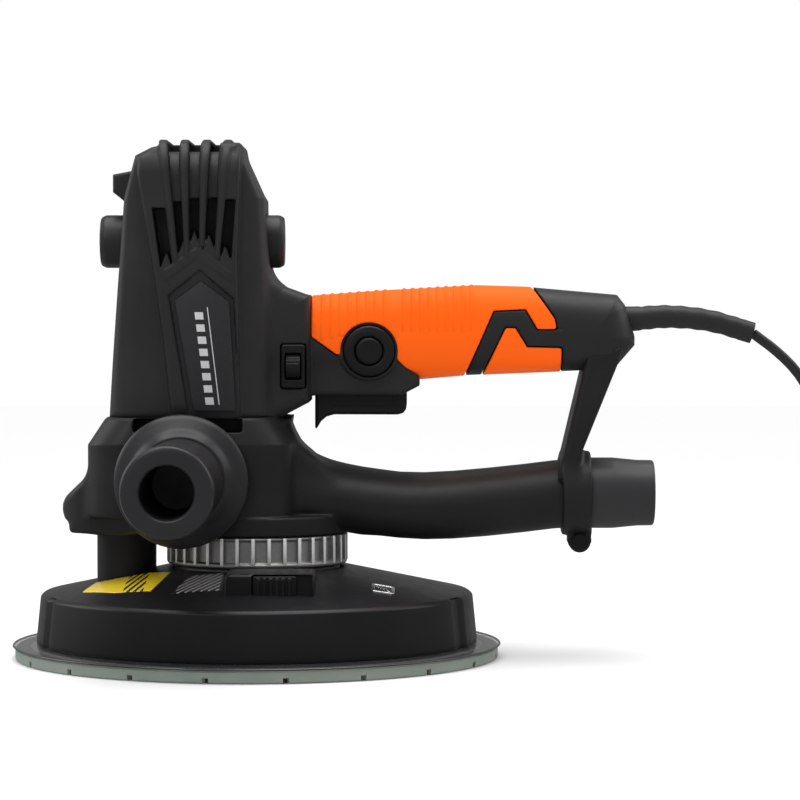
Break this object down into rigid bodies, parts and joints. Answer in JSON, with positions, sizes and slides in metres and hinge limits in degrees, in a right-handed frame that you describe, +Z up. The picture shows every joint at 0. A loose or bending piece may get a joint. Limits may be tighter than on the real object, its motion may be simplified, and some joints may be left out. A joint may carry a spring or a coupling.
{
  "type": "hand-held surface sander",
  "caption": "Hand-held disc sander with a dust-extraction head, vertical motor, rear and side handles, dust duct with a hose port, and a coiled mains cord.",
  "frame": {"origin": "centre of the abrasive face, on the disc's spin axis", "axes": "+X towards the hose port and cord, +Y towards the side away from the side handle, +Z up through the motor"},
  "size_m": [0.571, 0.2665, 0.2524],
  "materials": {
    "abrasive": "coated abrasive paper, rough",
    "foam": "soft closed-cell foam",
    "aluminium_part": "die-cast, machined fin tips",
    "steel_part": "turned steel",
    "bearing_steel": "ground steel",
    "screw_steel": "zinc plated",
    "cover_plastic": "black, satin to gloss",
    "skirt_clear": "smoked clear sheet",
    "light_guide": "translucent pale grey-green",
    "led_board": "white strip with light chips",
    "slider_plastic": "black, ribbed",
    "label_yellow": "plain yellow sticker",
    "label_dark": "plain dark sticker with pale stripes",
    "badge_chrome": "plain bright badge",
    "housing_plastic": "black, fine spark texture",
    "port_plastic": "black, satin",
    "shell_plastic": "black, fine spark texture",
    "fan_plastic": "glass-filled black",
    "core_steel": "laminated steel",
    "winding_copper": "enamelled copper wire",
    "commutator_copper": "copper segments",
    "carbon": "carbon block",
    "brass_part": "folded brass",
    "cap_plastic": "black, satin",
    "plate_grey": "plain dark plate with a thin pale edge line",
    "grip_orange": "soft orange grip, satin",
    "control_plastic": "black, satin",
    "spring_steel": "spring wire",
    "board_green": "potted circuit board",
    "side_plastic": "black, fine texture",
    "cord_rubber": "black flexible sheath",
    "plug_plastic": "black moulded plug"
  },
  "bodies": {
    "tool_body": {"spindle_bearings": "bearing_steel", "gear_case": "aluminium_part", "gear_case_screws": "screw_steel", "cover_screws": "screw_steel", "head_cover": "cover_plastic", "skirt_flange": "skirt_clear", "light_ring": "light_guide", "led_strip": "led_board", "suction_pipe": "cover_plastic", "warning_label": "label_yellow", "info_label": "label_dark", "badge": "badge_chrome", "lower_housing": "housing_plastic", "housing_screws": "screw_steel", "motor_bearings": "bearing_steel", "fan_baffle": "fan_plastic", "stator": "core_steel", "field_windings": "winding_copper", "carbon_brushes": "carbon", "brush_holders": "brass_part", "brush_caps": "cap_plastic", "shell_left": "shell_plastic", "shell_right": "shell_plastic", "shell_screws": "screw_steel", "nameplate": "plate_grey", "grip_left": "grip_orange", "grip_right": "grip_orange", "trigger_spring": "spring_steel", "switch_body": "control_plastic", "lock_bezel": "control_plastic", "rocker_bezel": "control_plastic", "control_module": "board_green", "side_handle": "side_plastic", "side_handle_stud": "screw_steel", "duct_tube": "housing_plastic", "handle_strut": "housing_plastic", "collar_screw": "screw_steel", "hose_port": "port_plastic", "strain_relief": "cord_rubber", "cord": "cord_rubber", "cord_coil": "cord_rubber", "plug": "plug_plastic"},
    "disc": {"spindle": "steel_part", "gear_key": "steel_part", "spindle_circlip": "steel_part", "drive_gear": "steel_part", "pad_plate": "aluminium_part", "pad_foam": "foam", "abrasive_disc": "abrasive", "pad_bolt": "steel_part"},
    "armature": {"armature_shaft": "steel_part", "pinion": "steel_part", "fan": "fan_plastic", "armature_core": "core_steel", "armature_windings": "winding_copper", "commutator": "commutator_copper"},
    "trigger": {"trigger": "control_plastic"},
    "lock_button": {"lock_button": "control_plastic"},
    "rocker": {"rocker": "control_plastic"},
    "suction_slider": {"suction_slider": "slider_plastic"}
  },
  "joints": [
    {"name": "disc_spin", "type": "hinge", "parent": "tool_body", "child": "disc", "pos_m": [0, 0, 0], "axis": [0, 0, 1], "continuous": true},
    {"name": "armature_spin", "type": "hinge", "parent": "tool_body", "child": "armature", "pos_m": [-0.031, 0, 0], "axis": [0, 0, 1], "continuous": true},
    {"name": "trigger_press", "type": "slide", "parent": "tool_body", "child": "trigger", "axis": [0, 0, 1], "range_m": [0, 0.005], "stiffness_N_per_m": 300, "deforming": ["trigger_spring"]},
    {"name": "lock_press", "type": "slide", "parent": "tool_body", "child": "lock_button", "axis": [0, 1, 0], "range_m": [0, 0.003], "stiffness_N_per_m": 200},
    {"name": "rocker_tilt", "type": "hinge", "parent": "tool_body", "child": "rocker", "pos_m": [0.0185, -0.024, 0.1424], "axis": [1, 0, 0], "range_deg": [-8, 8]},
    {"name": "regulator_slide", "type": "slide", "parent": "tool_body", "child": "suction_slider", "axis": [1, 0, 0], "range_m": [0, 0.007]}
  ],
  "couplings": [
    {"joint": "armature_spin", "follows": "disc_spin", "ratio": -4.1667}
  ]
}
